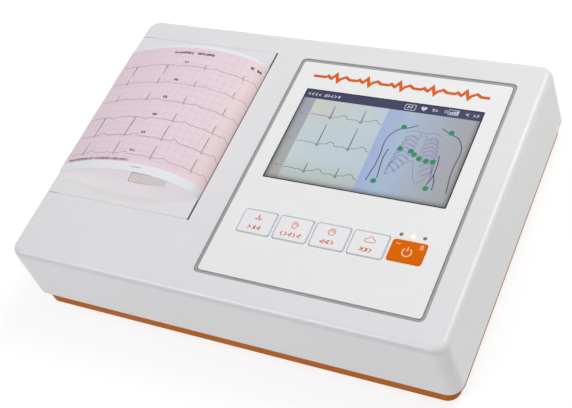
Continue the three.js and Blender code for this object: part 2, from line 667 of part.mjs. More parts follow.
const printer = new THREE.Group();
printer.add(printerDoor(), doorWindow(), ...hingePins(), ...platenParts());
printer.add(printerFrame(), ...driveParts(), ...headParts(), paperBay(), ...paperParts());
machine.add(printer);

machine.add(mainBoard(), patientBoard(), speaker(), ...sockets());

export default machine;
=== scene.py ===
"""Portable ECG recorder: the looks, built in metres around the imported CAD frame."""
import json
import math
import random

import bmesh
import bpy
from mathutils import Matrix, Vector


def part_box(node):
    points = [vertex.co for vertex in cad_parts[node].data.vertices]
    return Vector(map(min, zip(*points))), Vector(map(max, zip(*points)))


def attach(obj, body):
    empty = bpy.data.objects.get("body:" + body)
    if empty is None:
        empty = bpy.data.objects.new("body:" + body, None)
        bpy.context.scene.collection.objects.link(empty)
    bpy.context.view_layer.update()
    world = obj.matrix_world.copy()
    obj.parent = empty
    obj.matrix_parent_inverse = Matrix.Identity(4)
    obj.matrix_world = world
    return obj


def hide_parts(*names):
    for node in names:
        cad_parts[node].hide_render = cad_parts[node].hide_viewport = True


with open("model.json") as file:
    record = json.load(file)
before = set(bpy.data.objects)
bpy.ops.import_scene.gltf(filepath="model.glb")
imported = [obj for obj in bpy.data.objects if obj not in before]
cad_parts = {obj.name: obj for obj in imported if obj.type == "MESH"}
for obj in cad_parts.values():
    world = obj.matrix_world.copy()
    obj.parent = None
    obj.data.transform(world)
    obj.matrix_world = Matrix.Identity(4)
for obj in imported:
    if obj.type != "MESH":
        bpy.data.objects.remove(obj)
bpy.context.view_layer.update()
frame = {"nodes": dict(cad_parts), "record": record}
NODES = frame["nodes"]
RECORD = frame["record"]
BODY_OF = {n: body for body, nodes in RECORD["behaviour"]["bodies"].items() for n in nodes}
SLOT_OF = {row["node"]: row["material_slot"] for row in RECORD["subparts"]}
MM = 0.001

# ------------------------------------------------------------------ camera
CAMERA_PLACE = (0.2997, -0.3243, 0.5264)
CAMERA_AIM = (0.0145, -0.0221, 0.0422)
CAMERA_ROLL = math.radians(-24.89)
CAMERA_LENS = 72.92  # mm
CAMERA_SENSOR = 36.0  # mm across


def make_camera():
    data = bpy.data.cameras.new("camera")
    data.lens = CAMERA_LENS
    data.sensor_width = CAMERA_SENSOR
    data.clip_start = 0.01
    camera = bpy.data.objects.new("camera", data)
    aim = Vector(CAMERA_AIM) - Vector(CAMERA_PLACE)
    turn = aim.to_track_quat("-Z", "Y").to_matrix().to_4x4()
    roll = Matrix.Rotation(CAMERA_ROLL, 4, "Z")
    camera.matrix_world = Matrix.Translation(CAMERA_PLACE) @ turn @ roll
    bpy.context.scene.collection.objects.link(camera)
    bpy.context.scene.camera = camera


make_camera()


# ------------------------------------------------------------------ materials
def srgb(r, g, b):
    """A colour given as 0-255 screen values, as linear numbers."""
    def linear(v):
        v /= 255
        return v / 12.92 if v <= 0.04045 else ((v + 0.055) / 1.055) ** 2.4
    return linear(r), linear(g), linear(b), 1.0


class Shader:
    """A Principled material that is put together node by node."""

    def __init__(self, name, color, roughness, metallic=0.0, **sockets):
        self.material = bpy.data.materials.new(name)
        self.material.use_nodes = True
        self.tree = self.material.node_tree
        self.principled = self.tree.nodes["Principled BSDF"]
        self.color = color
        self.set(**{"Base Color": color, "Roughness": roughness, "Metallic": metallic})
        self.set(**{key.replace("_", " "): value for key, value in sockets.items()})
        self.where = self.node("ShaderNodeTexCoord").outputs["Object"]

    def set(self, **values):
        for key, value in values.items():
            self.principled.inputs[key].default_value = value

    def node(self, kind, **settings):
        made = self.tree.nodes.new(kind)
        for key, value in settings.items():
            setattr(made, key, value)
        return made

    def link(self, source, target):
        self.tree.links.new(source, target)

    def math(self, operation, a, b=0.0, c=0.0, clamp=False):
        made = self.node("ShaderNodeMath", operation=operation, use_clamp=clamp)
        for socket, value in zip(made.inputs, (a, b, c)):
            if isinstance(value, (int, float)):
                socket.default_value = value
            else:
                self.link(value, socket)
        return made.outputs[0]

    def noise(self, period, detail=2.0, stretch=(1, 1, 1)):
        mapping = self.node("ShaderNodeMapping")
        mapping.inputs["Scale"].default_value = stretch
        self.link(self.where, mapping.inputs["Vector"])
        made = self.node("ShaderNodeTexNoise")
        made.inputs["Scale"].default_value = 1 / period
        made.inputs["Detail"].default_value = detail
        self.link(mapping.outputs[0], made.inputs["Vector"])
        return made.outputs["Fac"]

    def spread(self, value, low, high, out_low, out_high):
        made = self.node("ShaderNodeMapRange")
        limits = {"From Min": low, "From Max": high, "To Min": out_low, "To Max": out_high}
        for key, number in limits.items():
            made.inputs[key].default_value = number
        self.link(value, made.inputs["Value"])
        return made.outputs[0]

    def mix(self, fac, a, b, blend="MIX"):
        made = self.node("ShaderNodeMix", data_type="RGBA", blend_type=blend)
        for index, value in ((0, fac), (6, a), (7, b)):
            if isinstance(value, (int, float, tuple)):
                made.inputs[index].default_value = value
            else:
                self.link(value, made.inputs[index])
        return made.outputs[2]

    def paint(self, source):
        self.link(source, self.principled.inputs["Base Color"])
        return self

    def mottle(self, period, amount):
        """Slow, faint change of tone over the surface."""
        r, g, b, _ = self.color
        dark = (r * (1 - amount), g * (1 - amount), b * (1 - amount), 1)
        light = (min(r * (1 + amount), 1), min(g * (1 + amount), 1), min(b * (1 + amount), 1), 1)
        return self.paint(self.mix(self.spread(self.noise(period), 0.3, 0.7, 0, 1), dark, light))

    def polish(self, period, low, high, stretch=(1, 1, 1)):
        """Roughness that changes from place to place."""
        value = self.spread(self.noise(period, 3, stretch), 0.3, 0.7, low, high)
        self.link(value, self.principled.inputs["Roughness"])
        return self

    def grain(self, period, depth, detail=2.0, stretch=(1, 1, 1)):
        """Fine relief, depth in metres."""
        bump = self.node("ShaderNodeBump")
        bump.inputs["Strength"].default_value = 1.0
        bump.inputs["Distance"].default_value = depth
        self.link(self.noise(period, detail, stretch), bump.inputs["Height"])
        self.link(bump.outputs[0], self.principled.inputs["Normal"])
        return self


WHITE = (0.697, 0.697, 0.692, 1.0)


def white_plastic():
    shader = Shader("case_white", WHITE, 0.36, Specular_IOR_Level=0.45)
    return shader.mottle(0.05, 0.012).polish(0.004, 0.32, 0.42).grain(0.45 * MM, 0.010 * MM).material


def orange_plastic(name="base_orange", color=srgb(180, 98, 22), grain=0.010):
    shader = Shader(name, color, 0.5, Specular_IOR_Level=0.2, IOR=1.15)
    return shader.mottle(0.03, 0.05).polish(0.004, 0.36, 0.5).grain(0.45 * MM, grain * MM).material


def plain(name, color, rough, metallic=0.0, tone=0.04, grain=0.01, period=0.5, **sockets):
    shader = Shader(name, color, rough, metallic, **sockets)
    shader.mottle(12 * MM, tone).polish(3 * MM, rough * 0.85, min(rough * 1.15, 1.0))
    return shader.grain(period * MM, grain * MM).material


def brushed(name, color, rough, stretch=(1, 0.04, 1)):
    """Metal with fine drawn lines along one axis."""
    shader = Shader(name, color, rough, 1.0)
    shader.mottle(10 * MM, 0.06).polish(0.6 * MM, rough * 0.7, rough * 1.4, stretch)
    return shader.grain(0.25 * MM, 0.006 * MM, 3, stretch).material


def glow(name, color, strength=1.0):
    """A lit printed mark of the display picture; also the painted glow of the lit lamp on the panel."""
    shader = Shader(name, (0.01, 0.01, 0.012, 1), 0.4, Emission_Strength=strength)
    r, g, b, _ = color
    dim = (r * 0.92, g * 0.92, b * 0.92, 1)
    tone = shader.mix(shader.spread(shader.noise(9 * MM), 0.3, 0.7, 0, 1), dim, color)
    shader.link(tone, shader.principled.inputs["Emission Color"])
    return shader.material


def ink(name, color, rough=0.5, gloss=0.2):
    return plain(name, color, rough, tone=0.06, grain=0.004, period=0.2, Specular_IOR_Level=gloss)


MATERIALS = {
    "case_white": white_plastic(),
    "base_orange": orange_plastic(),
    "foot_rubber": plain("foot_rubber", (0.022, 0.022, 0.024, 1), 0.78, tone=0.2, grain=0.02),
    "steel": brushed("steel", (0.52, 0.53, 0.55, 1), 0.32),
    "aluminium": brushed("aluminium", (0.66, 0.67, 0.69, 1), 0.36),
    "brass": brushed("brass", (0.62, 0.42, 0.14, 1), 0.3),
    "seal_grey": plain("seal_grey", (0.33, 0.33, 0.335, 1), 0.75, Specular_IOR_Level=0.1),
    "panel_film": plain("panel_film", (0.765, 0.77, 0.755, 1), 0.42, tone=0.01, grain=0.008, period=0.3),
    "key_film": plain("key_film", (0.76, 0.765, 0.765, 1), 0.4, tone=0.01, grain=0.006, period=0.3),
    "display_body": plain("display_body", (0.02, 0.022, 0.026, 1), 0.5),
    "board_green": plain("board_green", (0.02, 0.13, 0.05, 1), 0.35, tone=0.15),
    "black_plastic": plain("black_plastic", (0.016, 0.016, 0.018, 1), 0.45, tone=0.15, grain=0.015),
    "nylon": plain("nylon", (0.72, 0.69, 0.58, 1), 0.45, Subsurface_Weight=0.08, Subsurface_Scale=0.001),
    "head_ceramic": plain("head_ceramic", (0.55, 0.5, 0.42, 1), 0.2, grain=0.004),
    "smoked_plastic": plain("smoked_plastic", (0.61, 0.59, 0.56, 1), 0.3, grain=0.004),
    "battery_wrap": plain("battery_wrap", (0.03, 0.11, 0.27, 1), 0.25, grain=0.02, period=4),
}


# ------------------------------------------------------------------ mesh helpers
def add_object(name, mesh, material, body, replaces=()):
    piece = bpy.data.objects.new(name, mesh)
    bpy.context.scene.collection.objects.link(piece)
    mesh.materials.clear()
    mesh.materials.append(material)
    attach(piece, body)
    if replaces:
        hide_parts(*replaces)
    return piece


def mesh_from(name, bm, smooth_angle=35.0):
    """Smooth shading with edges kept sharp where faces meet at more than the angle."""
    bmesh.ops.recalc_face_normals(bm, faces=bm.faces)
    limit = math.radians(smooth_angle)
    for face in bm.faces:
        face.smooth = True
    for edge in bm.edges:
        edge.smooth = len(edge.link_faces) == 2 and edge.calc_face_angle() < limit
    mesh = bpy.data.meshes.new(name)
    bm.to_mesh(mesh)
    bm.free()
    return mesh


def skin(node, bevel=0.0, material=None, suffix="_skin"):
    """A finer copy of a CAD node: clean faces, softened edges and smooth shading."""
    bm = bmesh.new()
    bm.from_mesh(NODES[node].data)
    bmesh.ops.remove_doubles(bm, verts=bm.verts, dist=2e-6)
    bmesh.ops.dissolve_limit(bm, angle_limit=math.radians(0.4), verts=bm.verts, edges=bm.edges)
    mesh = mesh_from(node + suffix, bm)
    look = material or MATERIALS[SLOT_OF[node]]
    piece = add_object(node + suffix, mesh, look, BODY_OF[node], [node])
    if bevel:
        rounder = piece.modifiers.new("edges", "BEVEL")
        rounder.width = bevel * MM
        rounder.segments = 2
        rounder.limit_method = "ANGLE"
        rounder.angle_limit = math.radians(38)
        rounder.harden_normals = True
        rounder.use_clamp_overlap = True
    weigh = piece.modifiers.new("shading", "WEIGHTED_NORMAL")
    weigh.keep_sharp = True
    return piece


def loft(name, rings, closed_rings=True, caps=True, smooth_angle=35.0):
    """Joins rings of equally many points into one skin."""
    bm = bmesh.new()
    rows = [[bm.verts.new(p) for p in ring] for ring in rings]
    count = len(rows[0])
    last = count if closed_rings else count - 1
    for a, b in zip(rows, rows[1:]):
        for i in range(last):
            j = (i + 1) % count
            bm.faces.new((a[i], a[j], b[j], b[i]))
    if caps:
        bm.faces.new(rows[0])
        bm.faces.new(rows[-1])
    return mesh_from(name, bm, smooth_angle)


MITRE_LIMIT = 0.42  # cosine of half a corner's turn, below which the corner is cut off


def flat(z):
    """Places drawing coordinates (x, y, height) on a level plane."""
    return lambda x, y, h: (x, y, z + h)


def around(middle, z):
    """The same, with the drawing's origin over a point."""
    return lambda x, y, h: (middle.x + x, middle.y + y, z + h)


def stroke_rings(line, width, height, closed):
    """Cross-sections of a raised line: left and right edge, low and high."""
    count = len(line)
    rings = []
    for i, (x, y) in enumerate(line):
        before = line[(i - 1) % count] if closed or i > 0 else line[i]
        after = line[(i + 1) % count] if closed or i < count - 1 else line[i]
        inward = Vector((x - before[0], y - before[1]))
        outward = Vector((after[0] - x, after[1] - y))
        inward = (inward if inward.length else outward).normalized()
        outward = (outward if outward.length else inward).normalized()
        along = (inward + outward).normalized()
        half_turn = along.dot(outward)
        joins = [(inward, 1), (outward, 1)] if half_turn < MITRE_LIMIT else [(along, 1 / half_turn)]
        for way, reach in joins:
            side = Vector((-way.y, way.x)) * width / 2 * reach
            left, right = (x + side.x, y + side.y), (x - side.x, y - side.y)
            rings.append([(*left, 0), (*left, height), (*right, height), (*right, 0)])
    return rings


def add_stroke(bm, line, width, height, place, closed=False):
    rings = stroke_rings(line, width, height, closed)
    rows = [[bm.verts.new(place(*point)) for point in ring] for ring in rings]
    pairs = list(zip(rows, rows[1:]))
    if closed:
        pairs.append((rows[-1], rows[0]))
    for a, b in pairs:
        for i in range(4):
            j = (i + 1) % 4
            bm.faces.new((a[i], a[j], b[j], b[i]))
    if not closed:
        bm.faces.new(rows[0])
        bm.faces.new(rows[-1])


def add_patch(bm, outline, height, place):
    low = [bm.verts.new(place(x, y, 0)) for x, y in outline]
    high = [bm.verts.new(place(x, y, height)) for x, y in outline]
    bm.faces.new(high)
    bm.faces.new(low)
    for i in range(len(outline)):
        j = (i + 1) % len(outline)
        bm.faces.new((low[i], low[j], high[j], high[i]))


def drawing(name, material, body, place, strokes=(), patches=(), height=0.03 * MM):
    """One piece made of raised lines (line, width, closed) and filled outlines."""
    bm = bmesh.new()
    for line, width, closed in strokes:
        add_stroke(bm, line, width, height, place, closed)
    for outline in patches:
        add_patch(bm, outline, height, place)
    return add_object(name, mesh_from(name, bm, 20), material, body)


def circle(x, y, radius, sides=24, start=0.0, sweep=2 * math.pi):
    """Points of a circle, or of an arc that includes both its ends."""
    steps = sides if abs(sweep) >= 2 * math.pi else sides + 1
    angles = [start + i * sweep / sides for i in range(steps)]
    return [(x + radius * math.cos(angle), y + radius * math.sin(angle)) for angle in angles]


def in_metres(line):
    return [(x * MM, y * MM) for x, y in line]


def rectangle(x0, x1, y0, y1):
    return [(x0, y0), (x1, y0), (x1, y1), (x0, y1)]


def round_rectangle(x0, x1, y0, y1, radius, sides=5):
    points = []
    corners = ((x1, y0, -1), (x1, y1, 0), (x0, y1, 1), (x0, y0, 2))
    for x, y, quarter in corners:
        cx = x - radius if x == x1 else x + radius
        cy = y - radius if y == y1 else y + radius
        points += circle(cx, cy, radius, sides, quarter * math.pi / 2, math.pi / 2)
    return points


def curve_through(points, steps=6):
    """A smooth line through the points (Catmull-Rom)."""
    padded = [points[0]] + list(points) + [points[-1]]
    line = []
    for a, b, c, d in zip(padded, padded[1:], padded[2:], padded[3:]):
        for i in range(steps):
            t = i / steps
            point = []
            for p, q, r, s in zip(a, b, c, d):
                square = (2 * p - 5 * q + 4 * r - s) * t * t
                cube = (3 * q - p - 3 * r + s) * t ** 3
                point.append(0.5 * (2 * q + (r - p) * t + square + cube))
            line.append(tuple(point))
    return line + [points[-1]]


def block_marks(x, y, width, height, seed):
    """A row of small blocks that stands where a printed word would be, and spells nothing."""
    draw = random.Random(seed)
    marks = []
    edge = x
    while edge < x + width:
        size = height * draw.uniform(0.4, 0.85)
        low = y + height * draw.choice((0, 0, 0, 0.35))
        high = y + height * draw.choice((0.65, 1, 1))
        marks.append(rectangle(edge, min(edge + size, x + width), low, high))
        edge += size + height * draw.uniform(0.15, 0.28)
    return marks


def squiggles(x, y, width, height, seed, weight=0.2):
    """Strokes that stand where a printed word would be: random zigzags that spell nothing."""
    draw = random.Random(seed)
    count = max(int(width / (height * 0.82)), 1)
    pitch = width / count
    strokes = []
    for i in range(count):
        left = x + i * pitch
        rungs = [draw.uniform(0, 0.2), draw.uniform(0.35, 0.65), draw.uniform(0.8, 1.0)]
        side = draw.choice((0, 1))
        line = []
        for number, rung in enumerate(rungs):
            across = (side + number) % 2 * 0.5 + draw.uniform(0, 0.12)
            line.append((left + across * pitch, y + height * rung))
        strokes.append((line, height * weight, False))
        if draw.random() < 0.6:
            bar = left + draw.uniform(0.55, 0.7) * pitch
            low = y + height * draw.uniform(0, 0.4)
            strokes.append(([(bar, low), (bar, y + height)], height * weight, False))
    return strokes


# ------------------------------------------------------------------ case and hidden parts
EDGES = {  # mm: softening of each node's edges
    "upper_case": 0.35, "lower_case": 0.6, "battery_cover": 0.3, "battery_pack": 1.2, "panel_gasket": 0.2,
    "front_panel": 0.12, "lcd_module": 0.2, "keypad_board": 0.1, "printer_door": 0.35,
    "hinge_pin_front": 0.3, "hinge_pin_rear": 0.3, "platen_roller": 0.4, "platen_shaft": 0.3,
    "platen_bush_front": 0.2, "platen_bush_rear": 0.2, "platen_gear": 0.08, "printer_frame": 0.2,
    "idler_gear": 0.08, "motor_pinion": 0.06, "stepper_motor": 0.5, "print_head": 0.15,
    "head_heat_sink": 0.15, "head_spring_front": 0.05, "head_spring_rear": 0.05, "tear_bar": 0.05,
    "paper_bay": 0.4, "main_board": 0.15, "patient_board": 0.15, "speaker": 0.5,
    "patient_connector": 0.25, "usb_socket": 0.15, "power_inlet": 0.4, "earth_terminal": 0.3,
}


def case_parts():
    for node, edge in EDGES.items():
        skin(node, edge)
    for place in ("front_left", "front_right", "rear_left", "rear_right"):
        skin(f"foot_{place}", 0.3)
        skin(f"case_screw_{place}", 0.15)
    for key in ("auto", "manual", "stop", "link", "power"):
        skin(f"key_{key}_switch", 0.2)


case_parts()

# ------------------------------------------------------------------ display
SCREEN_LOW, SCREEN_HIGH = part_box("display_window")
SCREEN_TOP = SCREEN_HIGH.z
SINK = 0.01 * MM  # how far printed marks reach into the face below them
STRIP_EDGE = 5.6  # mm along x: where the grey strip ends and the traces begin
FIGURE_EDGE = 51.6  # mm along x: where the picture of the lead places begins
HEADER_EDGE = 48.0  # mm along y: lower edge of the dark title bar
TRACE_ROWS = ((36.4, 8.0), (16.6, 14.5), (-2.6, 5.5))  # mm: base line and spike of each trace
BEATS_AT = (19.3, 38.6)


def screen_material():
    shader = Shader("display_glass", (0.006, 0.007, 0.008, 1), 0.07, Emission_Strength=1.0, Coat_Weight=0.3)
    parts = shader.node("ShaderNodeSeparateXYZ")
    shader.link(shader.where, parts.inputs[0])
    x, y = parts.outputs[0], parts.outputs[1]

    def ramp(axis, start, stop):
        return shader.spread(axis, start * MM, stop * MM, 0, 1)

    traces = shader.mix(ramp(y, 47, 24), srgb(201, 201, 190), srgb(193, 206, 209))
    traces = shader.mix(ramp(x, 8, 50), traces, srgb(186, 202, 210))
    traces = shader.mix(ramp(y, 6, -9), traces, srgb(178, 188, 184))
    strip = shader.mix(ramp(y, 40, -8), srgb(158, 162, 174), srgb(166, 168, 160))
    figure = shader.mix(ramp(x, 51, 66), srgb(158, 174, 212), srgb(166, 184, 208))
    figure = shader.mix(ramp(x, 66, 102), figure, srgb(163, 163, 165))
    color = shader.mix(ramp(x, STRIP_EDGE - 0.3, STRIP_EDGE + 0.3), strip, traces)
    color = shader.mix(ramp(x, FIGURE_EDGE - 0.3, FIGURE_EDGE + 0.3), color, figure)
    # Darker towards the left, right and bottom edges of the picture: painted shade.
    for axis, start, stop in ((x, 2.5, -2.9), (x, 101, 105.4), (y, -6, -11.3)):
        color = shader.mix(shader.math("POWER", ramp(axis, start, stop), 2.6), color, srgb(74, 78, 80))
    shade = shader.spread(shader.noise(26 * MM), 0.3, 0.7, 0.0, 0.05)
    color = shader.mix(shade, color, (0, 0, 0, 1))
    shader.link(color, shader.principled.inputs["Emission Color"])
    return shader.polish(30 * MM, 0.05, 0.09).grain(18 * MM, 0.01 * MM).material


def screen_piece(name, material, strokes=(), patches=(), height=0.03):
    """A mark on the display, drawn in mm."""
    lines = [(in_metres(line), width * MM, closed) for line, width, closed in strokes]
    outlines = [in_metres(outline) for outline in patches]
    place = flat(SCREEN_TOP - SINK)
    return drawing(name, material, "case", place, lines, outlines, height * MM)


def screen_beat(x, y, tall):
    """Base line, P wave, spike and T wave of one trace on the display, from its R peak at x."""
    return [
        (x - 4.8, y), (x - 3.9, y + 0.6), (x - 3, y), (x - 0.8, y - 0.3), (x - 0.2, y - 1.6),
        (x + 0.1, y + tall), (x + 0.4, y - 1.9), (x + 1.1, y), (x + 4.9, y + 0.5),
        (x + 7.4, y + 2.3), (x + 9.3, y + 1.9), (x + 10.8, y),
    ]


def screen_traces():
    strokes = []
    for y, tall in TRACE_ROWS:
        line = [(STRIP_EDGE + 0.6, y), (STRIP_EDGE + 3, y + 0.4)]
        for x in BEATS_AT:
            line += screen_beat(x, y, tall)
        strokes.append((line + [(FIGURE_EDGE - 0.6, y - 0.4)], 0.34, False))
    screen_piece("screen_traces", glow("screen_trace_ink", srgb(96, 100, 102)), strokes)
    marks = [rectangle(x, x + 1.1, y - 0.6, y + 0.6) for x, y in ((1.0, 36.2), (1.0, 17.6), (1.0, -1.8))]
    screen_piece("screen_lead_marks", glow("screen_mark_ink", srgb(170, 120, 122)), patches=marks)


def heart(x, y, size):
    points = []
    for i in range(24):
        t = i * math.pi / 12
        u = 16 * math.sin(t) ** 3
        v = 13 * math.cos(t) - 5 * math.cos(2 * t) - 2 * math.cos(3 * t) - math.cos(4 * t)
        points.append((x + u * size / 32, y + v * size / 32))
    return points


def screen_header():
    low, high = SCREEN_LOW / MM, SCREEN_HIGH / MM
    bar = rectangle(low.x + 0.25, high.x - 0.25, HEADER_EDGE, high.y - 0.25)
    screen_piece("screen_title_bar", glow("screen_title_bar", srgb(46, 47, 84)), patches=[bar])
    pale = glow("screen_title_marks", srgb(205, 207, 222))
    places = (
        (-0.6, 50.0, 8.8, 2.2), (9.6, 50.0, 10.6, 2.2), (76, 50.2, 4.2, 2.1),
        (95.6, 50.2, 3.4, 2.1), (100, 50.2, 3.6, 2.1), (61.2, 50.2, 3.9, 1.9),
    )
    words = []
    for seed, (x, y, width, height) in enumerate(places, 3):
        words += squiggles(x, y, width, height, seed)
    cell = [rectangle(86.4 + i * 1.3, 87.3 + i * 1.3, 50.2, 51.6 + 0.4 * i) for i in range(4)]
    frames = [
        (round_rectangle(60.0, 66.2, 49.2, 53.0, 0.4, 2), 0.35, True),
        (round_rectangle(85.6, 91.4, 49.7, 53.2, 0.3, 2), 0.3, True),
        (circle(84.2, 51.4, 0.9, 10), 0.3, True),
    ]
    screen_piece("screen_title_marks", pale, frames + words, cell + [heart(71.2, 51.4, 3.6)], 0.06)


def mirrored(line, middle):
    return [(2 * middle - x, y) for x, y in line]


def screen_figure():
    """The outline of a chest with its ribs: a plain textbook figure."""
    middle = 79.4
    shoulder = curve_through([
        (72.4, 39.4), (67.2, 36.6), (62, 34.6), (58.3, 29.4), (57.4, 23.5), (58.0, 16.5),
        (57.9, 9), (57.2, 3.8), (56.4, -2.2),
    ], 4)
    flank = curve_through([(61.4, 20.6), (60.5, 15), (60.9, 9.4), (61.6, 4.2), (61.9, 0.6)], 4)
    right_flank = curve_through([(90.6, 21.4), (91.8, 15), (92, 8.6), (93.4, 4.4), (94.2, -1.6)], 4)
    waist = curve_through([(91.9, 8.2), (91.2, 4.6), (90, 1.2)], 4)
    lines = [shoulder, mirrored(shoulder, middle), flank, right_flank, waist]
    strokes = [(line, 0.6, False) for line in lines]
    screen_piece("screen_figure_outline", glow("screen_figure_ink", srgb(70, 70, 108)), strokes)
    ribs = []
    for i in range(9):
        y = 31.5 - i * 2.75
        reach = 8.2 + 3.0 * math.sin(min(i, 6) / 6 * math.pi / 2)
        drop = 1.4 + 0.35 * i
        gap = 2.4 + max(i - 5, 0) * 1.5
        rib = curve_through([
            (middle - 2 - gap, y - drop * 0.7), (middle - 2 - gap - reach * 0.45, y + 0.7),
            (middle - 3 - reach, y - drop), (middle - 2.2 - reach, y - drop - 1.9),
        ], 4)
        pair = [rib, mirrored(rib, middle - 1.6)]
        ribs += pair + [[(u, v - 0.85) for u, v in upper[:-4]] for upper in pair]
    arch = curve_through([
        (64.2, 3.2), (69, 6.6), (73.6, 12.6), (77.4, 15.4), (79.2, 10.4), (81.4, 4.2),
        (84.2, 1.4), (87.6, 4.6), (90, 11.6),
    ], 4)
    collar = curve_through([(66.8, 33.6), (72, 35.4), (77.6, 34.6), (83, 35.6), (88, 33.8)], 4)
    left_bone = curve_through([(76, 34), (75.4, 26), (76.2, 17)], 3)
    right_bone = curve_through([(79.4, 34), (80, 26), (79.4, 17)], 3)
    thin = [(line, 0.26, False) for line in ribs + [arch, collar, left_bone, right_bone]]
    screen_piece("screen_figure_ribs", glow("screen_rib_ink", srgb(118, 108, 156)), thin, height=0.02)


def screen_leads():
    places = (
        (64.5, 36.9), (92.1, 37.4), (67.7, 22.0), (74.2, 21.4), (76.8, 19.4),
        (80.3, 17.3), (84.7, 16.3), (88.6, 16.5), (60.9, -1.7), (90.6, -1.0),
    )
    dots = [circle(x, y, 1.65, 20) for x, y in places]
    screen_piece("screen_lead_places", glow("screen_lead_green", srgb(0, 136, 84)), patches=dots, height=0.05)


def display():
    skin("display_window", 0.1, screen_material())
    low, high = SCREEN_LOW / MM, SCREEN_HIGH / MM
    # A dark line round the edge of the window: painted shadow of the window's recess.
    frame_line = rectangle(low.x + 0.1, high.x - 0.1, low.y + 0.1, high.y - 0.1)
    border = ink("screen_edge_shadow", (0.012, 0.013, 0.015, 1), 0.3)
    screen_piece("screen_edge_shadow", border, [(frame_line, 0.55, True)], height=0.04)
    screen_traces()
    screen_header()
    screen_figure()
    screen_leads()


display()

# ------------------------------------------------------------------ keys and panel print
ORANGE_INK = ink("orange_ink", srgb(208, 92, 10))
OUTLINE_INK = ink("outline_ink", (0.46, 0.50, 0.54, 1))
PEACH_INK = ink("peach_ink", srgb(250, 208, 176))
POWER_ORANGE = orange_plastic("power_orange", srgb(214, 98, 0), 0.006)
PANEL_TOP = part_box("front_panel")[1].z
LEGEND_WIDTHS = {"auto": 8.6, "manual": 13.0, "stop": 8.8, "link": 7.8}  # mm


def key_icon(name):
    """Strokes of the small picture on a key, in mm from its middle."""
    if name == "auto":
        wave = [
            (-2.3, 2.0), (-1.1, 2.0), (-0.8, 1.5), (-0.1, 5.0),
            (0.5, 1.2), (0.8, 2.0), (1.5, 2.5), (2.3, 2.0),
        ]
        return [(wave, 0.42, False)]
    if name == "manual":
        palm = [(-1.2, 2.9), (-1.3, 1.5), (-0.7, 0.7), (0.8, 0.7), (1.4, 1.7), (1.5, 3.0)]
        fingers = [[(-1.2, 2.8), (-1.4, 4.4)], [(-0.4, 3.0), (-0.4, 5.2)], [(0.5, 3.0), (0.6, 5.0)]]
        thumb = [(1.4, 2.2), (2.4, 3.2)]
        little = [(1.4, 2.9), (1.5, 4.3)]
        return [(line, 0.42, False) for line in [palm, thumb, little] + fingers]
    if name == "stop":
        sign = circle(0, 2.9, 2.1, 8, math.pi / 8)
        palm = [(-0.9, 2.3), (-0.9, 3.5), (0, 3.9), (0.9, 3.5), (0.9, 2.3)]
        return [(sign, 0.42, True), (palm, 0.38, False)]
    if name == "link":
        cloud = (circle(-1.9, 2.2, 1.0, 6, math.pi / 2 + 0.3, math.pi - 0.3)
                 + circle(1.9, 2.3, 1.1, 6, -math.pi / 2, math.pi - 0.4)
                 + circle(0.2, 3.2, 1.5, 8, 0.3, math.pi - 0.5))
        return [(cloud, 0.42, True)]
    ring = circle(0, -0.3, 2.5, 20, math.radians(125), math.radians(290))
    tilde = [(-7.3, 3.9), (-6.7, 4.5), (-6.1, 4.2), (-5.5, 3.8), (-4.9, 4.3)]
    cell = round_rectangle(6.2, 7.3, 2.9, 5.2, 0.2, 2)
    return [(ring, 0.6, False), ([(0, 0.4), (0, 3.0)], 0.6, False), (tilde, 0.35, False), (cell, 0.4, True)]


def key_caps():
    for number, name in enumerate(("auto", "manual", "stop", "link", "power")):
        node = f"key_{name}"
        skin(node, 0.3, POWER_ORANGE if name == "power" else None)
        low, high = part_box(node)
        middle = (low + high) / 2
        half_x = (high.x - low.x) / 2 - 0.35 * MM
        half_y = (high.y - low.y) / 2 - 0.35 * MM
        place = around(middle, high.z - SINK)
        edge = round_rectangle(-half_x, half_x, -half_y, half_y, 1.4 * MM)
        if name == "power":
            wide, deep = half_x + 1 * MM, half_y + 1 * MM
            ring = round_rectangle(-wide, wide, -deep, deep, 2.2 * MM)
            on_panel = around(middle, PANEL_TOP - SINK)
            drawing("panel_power_ring", PEACH_INK, "case", on_panel, [(ring, 0.45 * MM, True)])
        else:
            drawing(f"{node}_outline", OUTLINE_INK, node, place, [(edge, 0.46 * MM, True)])
        lines = key_icon(name)
        if name in LEGEND_WIDTHS:
            width = LEGEND_WIDTHS[name]
            lines += squiggles(-width / 2, -5.0, width, 2.8, 20 + number, 0.19)
        strokes = [(in_metres(line), width * MM, closed) for line, width, closed in lines]
        look = PEACH_INK if name == "power" else ORANGE_INK
        drawing(f"{node}_icon", look, node, place, strokes)


def pulse_stripe():
    """A generic heartbeat line along the back of the panel."""
    level = 64.6
    beat = (
        (-6.2, 0), (-4.8, 1.2), (-3.4, 0), (-2.2, -0.6), (0, 3.0),
        (2.2, -2.2), (3.6, 0), (6.4, 1.7), (9.2, 0),
    )
    line = [(-3.0, level)]
    for x in range(11, 92, 20):
        line += [(x + across, level + up) for across, up in beat]
    line.append((105.2, level))
    strokes = [(in_metres(line), 1.9 * MM, False)]
    place = flat(PANEL_TOP - SINK)
    drawing("panel_pulse_stripe", ORANGE_INK, "case", place, strokes, height=0.05 * MM)


def lamps():
    dull = plain("led_dull", (0.17, 0.17, 0.18, 1), 0.25)
    lit = Shader("led_lit", (0.9, 0.85, 0.6, 1), 0.25, Emission_Strength=1.5)
    lit.mottle(1 * MM, 0.05)
    lit.set(**{"Emission Color": (1.0, 0.93, 0.66, 1)})
    skin("led_mains", 0.15, dull)
    skin("led_battery", 0.15, dull)
    skin("led_on", 0.15, lit.material)
    low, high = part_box("led_on")
    middle = (low + high) / 2
    # A glowing ring on the panel round the lit lamp: painted light of the lamp on the panel.
    halo = glow("led_halo", srgb(255, 247, 216), 0.96)
    ring = circle(middle.x, middle.y, 1.55 * MM, 24)
    drawing("led_on_halo", halo, "case", flat(PANEL_TOP - SINK), [(ring, 0.7 * MM, True)])


key_caps()
pulse_stripe()
lamps()

